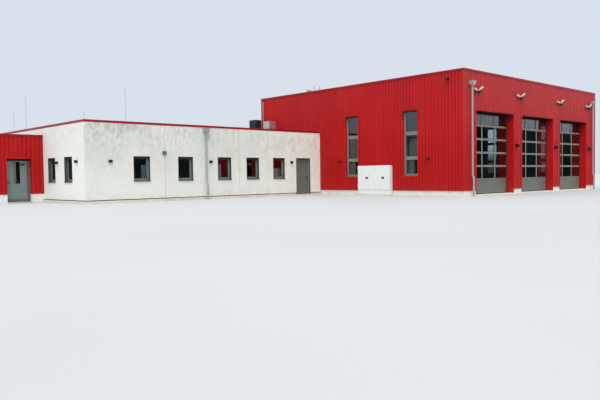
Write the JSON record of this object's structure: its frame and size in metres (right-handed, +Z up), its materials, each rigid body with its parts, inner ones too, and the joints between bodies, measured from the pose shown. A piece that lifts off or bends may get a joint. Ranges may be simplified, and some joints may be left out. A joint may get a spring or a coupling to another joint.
{
  "type": "fire station building",
  "caption": "Fire station: a tall red sheet-clad vehicle hall with glazed sectional doors, a low concrete office wing with windows, and a small red entrance porch.",
  "frame": {"origin": "On the ground under the middle of the vehicle hall, on the underside of its floor slab.", "axes": "+X to the right along the garage front, +Y to the back of the hall, +Z up."},
  "size_m": [34.476, 23.305, 7.075],
  "materials": {
    "bay_leaf": "satin",
    "bay_glass": "clear over a dark room",
    "red_trim": "smooth satin",
    "red_sheet": "satin profiled sheet",
    "cabinet_paint": "satin",
    "black_fitting": "matte",
    "pipe_paint": "satin",
    "duct_metal": "plain sheet",
    "window_glass": "clear over a dark room",
    "frame_paint": "satin",
    "door_paint": "satin",
    "roof_membrane": "welded membrane",
    "lamp_housing": "satin",
    "floor_concrete": "floated concrete",
    "wall_core": "rendered block",
    "capping_metal": "satin folded sheet",
    "white_plinth": "painted concrete",
    "window_frame": "satin",
    "rod_steel": "galvanised",
    "wall_concrete": "cast concrete",
    "plinth_concrete": "cast concrete",
    "vent_paint": "matte",
    "sill_metal": "folded sheet"
  },
  "bodies": {
    "building": {"bay_door_panes": "bay_glass", "bay_doors": "bay_leaf", "cabinet_body": "cabinet_paint", "door_frames": "frame_paint", "door_linings": "red_trim", "door_lintels": "wall_concrete", "downpipes": "pipe_paint", "duct_box": "duct_metal", "flat_roofs": "roof_membrane", "floodlight_boxes": "black_fitting", "floodlight_heads": "lamp_housing", "floor_slabs": "floor_concrete", "hall_back_wall": "wall_core", "hall_capping": "capping_metal", "hall_cladding": "red_sheet", "hall_corner_trims": "red_trim", "hall_front_header": "wall_core", "hall_front_piers": "wall_core", "hall_left_wall": "wall_core", "hall_plinth": "white_plinth", "hall_right_wall": "wall_core", "hall_window_frames": "window_frame", "lightning_rods": "rod_steel", "office_back_wall": "wall_concrete", "office_capping": "capping_metal", "office_front_wall": "wall_concrete", "office_left_wall": "wall_concrete", "office_plinth": "plinth_concrete", "office_right_wall": "wall_concrete", "office_window_frames": "window_frame", "porch_cladding": "red_sheet", "porch_walls": "wall_core", "vent_unit": "vent_paint", "wall_lamps": "black_fitting", "wedge_lamps": "black_fitting", "window_flashings": "red_trim", "window_panes": "window_glass", "window_sills": "sill_metal"},
    "entrance_leaf": {"entrance_door": "door_paint", "entrance_glass": "window_glass", "entrance_fittings": "black_fitting"},
    "service_leaf": {"service_door": "door_paint", "service_handle": "black_fitting"},
    "cabinet_leaf_near": {"cabinet_door_near": "cabinet_paint", "cabinet_latch_near": "black_fitting"},
    "cabinet_leaf_far": {"cabinet_door_far": "cabinet_paint", "cabinet_latch_far": "black_fitting"}
  },
  "joints": [
    {"name": "entrance_hinge", "type": "hinge", "parent": "building", "child": "entrance_leaf", "pos_m": [-24.5215, 7.546, 1.2], "axis": [0, 0, 1], "range_deg": [0, 95]},
    {"name": "service_hinge", "type": "hinge", "parent": "building", "child": "service_leaf", "pos_m": [-10.252, 2.501, 1.2], "axis": [0, 0, -1], "range_deg": [0, 95]},
    {"name": "cabinet_near_hinge", "type": "hinge", "parent": "building", "child": "cabinet_leaf_near", "pos_m": [-8.466, -3.439, 1], "axis": [0, 0, 1], "range_deg": [0, 110]},
    {"name": "cabinet_far_hinge", "type": "hinge", "parent": "building", "child": "cabinet_leaf_far", "pos_m": [-8.466, -1.021, 1], "axis": [0, 0, -1], "range_deg": [0, 110]}
  ]
}
